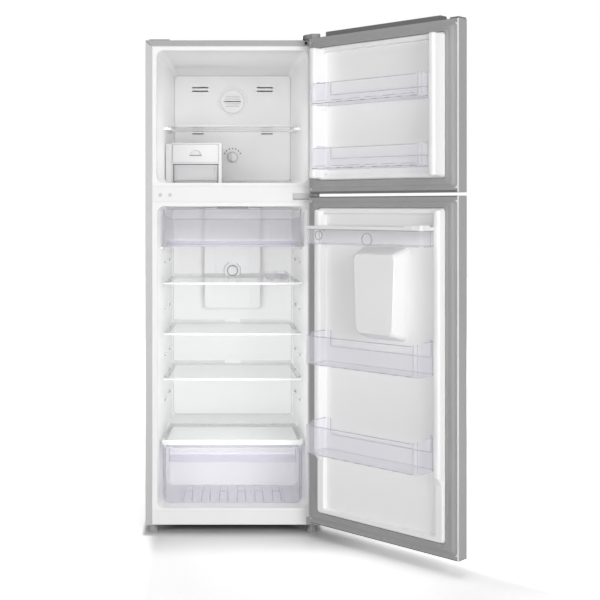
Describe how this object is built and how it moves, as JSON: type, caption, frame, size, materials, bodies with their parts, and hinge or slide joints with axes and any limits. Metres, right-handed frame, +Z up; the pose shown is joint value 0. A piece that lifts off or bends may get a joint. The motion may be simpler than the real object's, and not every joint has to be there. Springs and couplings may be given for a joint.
{
  "type": "top freezer refrigerator",
  "caption": "Upright refrigerator with a freezer above, both doors open on the right; glass shelves, clear drawers and door bins, ice maker and water dispenser.",
  "frame": {"origin": "centre of the front left levelling foot's sole, on the floor", "axes": "+Z up, +Y from the cabinet's front to its back, +X from its left side to its hinge side"},
  "size_m": [1.016, 1.1035, 1.72],
  "materials": {
    "painted_steel": "satin metallic silver paint",
    "galvanised_steel": "zinc coated",
    "black_steel": "semi gloss black",
    "aluminium_fins": "mill finish",
    "white_liner": "soft gloss",
    "white_moulding": "soft gloss",
    "grey_moulding": "fine grain",
    "dark_moulding": "matte",
    "lamp_lens": "smoked clear",
    "clear_plastic": "clear, faint violet tint",
    "shelf_glass": "polished",
    "door_seal": "soft matte",
    "foam": "rigid foam",
    "foot_plastic": "matte"
  },
  "bodies": {
    "cabinet": {"outer_shell": "painted_steel", "back_panel": "galvanised_steel", "cabinet_foam": "foam", "freezer_liner": "white_liner", "fridge_liner": "white_liner", "divider_trim": "white_moulding", "front_rail": "white_moulding", "base_plate": "galvanised_steel", "compressor": "black_steel", "evaporator": "aluminium_fins", "fan_motor": "dark_moulding", "freezer_back_cover": "white_moulding", "duct_cover": "white_moulding", "ceiling_lamp": "lamp_lens", "top_hinge": "galvanised_steel", "top_hinge_cover": "grey_moulding", "top_left_cap": "grey_moulding", "middle_hinge": "galvanised_steel", "bottom_hinge": "galvanised_steel", "ice_box_frame": "white_moulding", "crisper_cover_frame": "white_moulding", "crisper_cover_glass": "shelf_glass"},
    "front_left_leveller": {"foot_left": "foot_plastic"},
    "front_right_leveller": {"foot_right": "foot_plastic"},
    "fan_rotor": {"fan_blade": "dark_moulding"},
    "freezer_control": {"freezer_dial": "white_moulding"},
    "fridge_control": {"fridge_dial": "white_moulding"},
    "freezer_rack": {"freezer_shelf": "clear_plastic"},
    "ice_tray_drawer": {"ice_tray": "white_moulding"},
    "ice_bin_drawer": {"ice_bin": "clear_plastic"},
    "chill_box": {"chill_drawer": "clear_plastic"},
    "shelf_1": {"shelf_frame_1": "white_moulding", "shelf_glass_1": "shelf_glass"},
    "shelf_2": {"shelf_frame_2": "white_moulding", "shelf_glass_2": "shelf_glass"},
    "shelf_3": {"shelf_frame_3": "white_moulding", "shelf_glass_3": "shelf_glass"},
    "egg_rack": {"egg_tray": "clear_plastic"},
    "crisper_box": {"crisper_drawer": "clear_plastic"},
    "freezer_door": {"freezer_door_skin": "painted_steel", "freezer_door_foam": "foam", "freezer_door_liner": "white_liner", "freezer_door_seal": "door_seal", "freezer_door_top_cap": "grey_moulding", "freezer_door_bottom_cap": "grey_moulding"},
    "freezer_upper_bin": {"freezer_bin_upper": "clear_plastic"},
    "freezer_lower_bin": {"freezer_bin_lower": "clear_plastic"},
    "fridge_door": {"fridge_door_skin": "painted_steel", "fridge_door_foam": "foam", "fridge_door_liner": "white_liner", "fridge_door_seal": "door_seal", "fridge_door_top_cap": "grey_moulding", "fridge_door_bottom_cap": "grey_moulding", "dispenser_housing": "dark_moulding"},
    "fridge_middle_bin": {"fridge_bin_middle": "clear_plastic"},
    "fridge_lower_bin": {"fridge_bin_lower": "clear_plastic"},
    "tank": {"water_tank": "clear_plastic"},
    "tank_cover": {"tank_lid": "white_moulding"},
    "dispenser_paddle": {"dispenser_lever": "grey_moulding"}
  },
  "joints": [
    {"name": "freezer_door_hinge", "type": "hinge", "parent": "cabinet", "child": "freezer_door", "pos_m": [0.564, -0.071, 1.704], "axis": [0, 0, 1], "range_deg": [-135, 20]},
    {"name": "fridge_door_hinge", "type": "hinge", "parent": "cabinet", "child": "fridge_door", "pos_m": [0.564, -0.071, 0.055], "axis": [0, 0, 1], "range_deg": [-135, 20]},
    {"name": "crisper_drawer_slide", "type": "slide", "parent": "cabinet", "child": "crisper_box", "axis": [0, -1, 0], "range_m": [0, 0.28]},
    {"name": "chill_drawer_slide", "type": "slide", "parent": "cabinet", "child": "chill_box", "axis": [0, -1, 0], "range_m": [0, 0.25]},
    {"name": "shelf_1_slide", "type": "slide", "parent": "cabinet", "child": "shelf_1", "axis": [0, -1, 0], "range_m": [0, 0.15]},
    {"name": "shelf_2_slide", "type": "slide", "parent": "cabinet", "child": "shelf_2", "axis": [0, -1, 0], "range_m": [0, 0.15]},
    {"name": "shelf_3_slide", "type": "slide", "parent": "cabinet", "child": "shelf_3", "axis": [0, -1, 0], "range_m": [0, 0.15]},
    {"name": "egg_tray_lift", "type": "slide", "parent": "shelf_1", "child": "egg_rack", "axis": [0, 0, 1], "range_m": [0, 0.03]},
    {"name": "freezer_shelf_slide", "type": "slide", "parent": "cabinet", "child": "freezer_rack", "axis": [0, -1, 0], "range_m": [0, 0.15]},
    {"name": "ice_tray_slide", "type": "slide", "parent": "cabinet", "child": "ice_tray_drawer", "axis": [0, -1, 0], "range_m": [0, 0.18]},
    {"name": "ice_bin_slide", "type": "slide", "parent": "cabinet", "child": "ice_bin_drawer", "axis": [0, -1, 0], "range_m": [0, 0.18]},
    {"name": "freezer_upper_bin_lift", "type": "slide", "parent": "freezer_door", "child": "freezer_upper_bin", "axis": [0, 0, 1], "range_m": [0, 0.015]},
    {"name": "freezer_lower_bin_lift", "type": "slide", "parent": "freezer_door", "child": "freezer_lower_bin", "axis": [0, 0, 1], "range_m": [0, 0.015]},
    {"name": "fridge_middle_bin_lift", "type": "slide", "parent": "fridge_door", "child": "fridge_middle_bin", "axis": [0, 0, 1], "range_m": [0, 0.015]},
    {"name": "fridge_lower_bin_lift", "type": "slide", "parent": "fridge_door", "child": "fridge_lower_bin", "axis": [0, 0, 1], "range_m": [0, 0.015]},
    {"name": "water_tank_lift", "type": "slide", "parent": "fridge_door", "child": "tank", "axis": [0, 0, 1], "range_m": [0, 0.02]},
    {"name": "tank_lid_lift", "type": "slide", "parent": "tank", "child": "tank_cover", "axis": [0, 0, 1], "range_m": [0, 0.015]},
    {"name": "dispenser_lever_hinge", "type": "hinge", "parent": "fridge_door", "child": "dispenser_paddle", "pos_m": [0.75775, -0.31849, 0.9548], "axis": [-0.7071, 0.7071, 0], "range_deg": [0, 15], "stiffness_Nm_per_rad": 0.5},
    {"name": "freezer_dial_turn", "type": "hinge", "parent": "cabinet", "child": "freezer_control", "pos_m": [0.276, 0.456, 1.324], "axis": [0, -1, 0], "range_deg": [-130, 130]},
    {"name": "fridge_dial_turn", "type": "hinge", "parent": "cabinet", "child": "fridge_control", "pos_m": [0.276, 0.482, 0.88122], "axis": [0, -1, 0], "range_deg": [-130, 130]},
    {"name": "fan_spin", "type": "hinge", "parent": "cabinet", "child": "fan_rotor", "pos_m": [0.276, 0.482, 1.541], "axis": [0, -1, 0], "continuous": true},
    {"name": "front_left_foot_turn", "type": "hinge", "parent": "cabinet", "child": "front_left_leveller", "pos_m": [0, 0, 0.02], "axis": [0, 0, 1], "continuous": true},
    {"name": "front_right_foot_turn", "type": "hinge", "parent": "cabinet", "child": "front_right_leveller", "pos_m": [0.552, 0, 0.02], "axis": [0, 0, 1], "continuous": true}
  ]
}
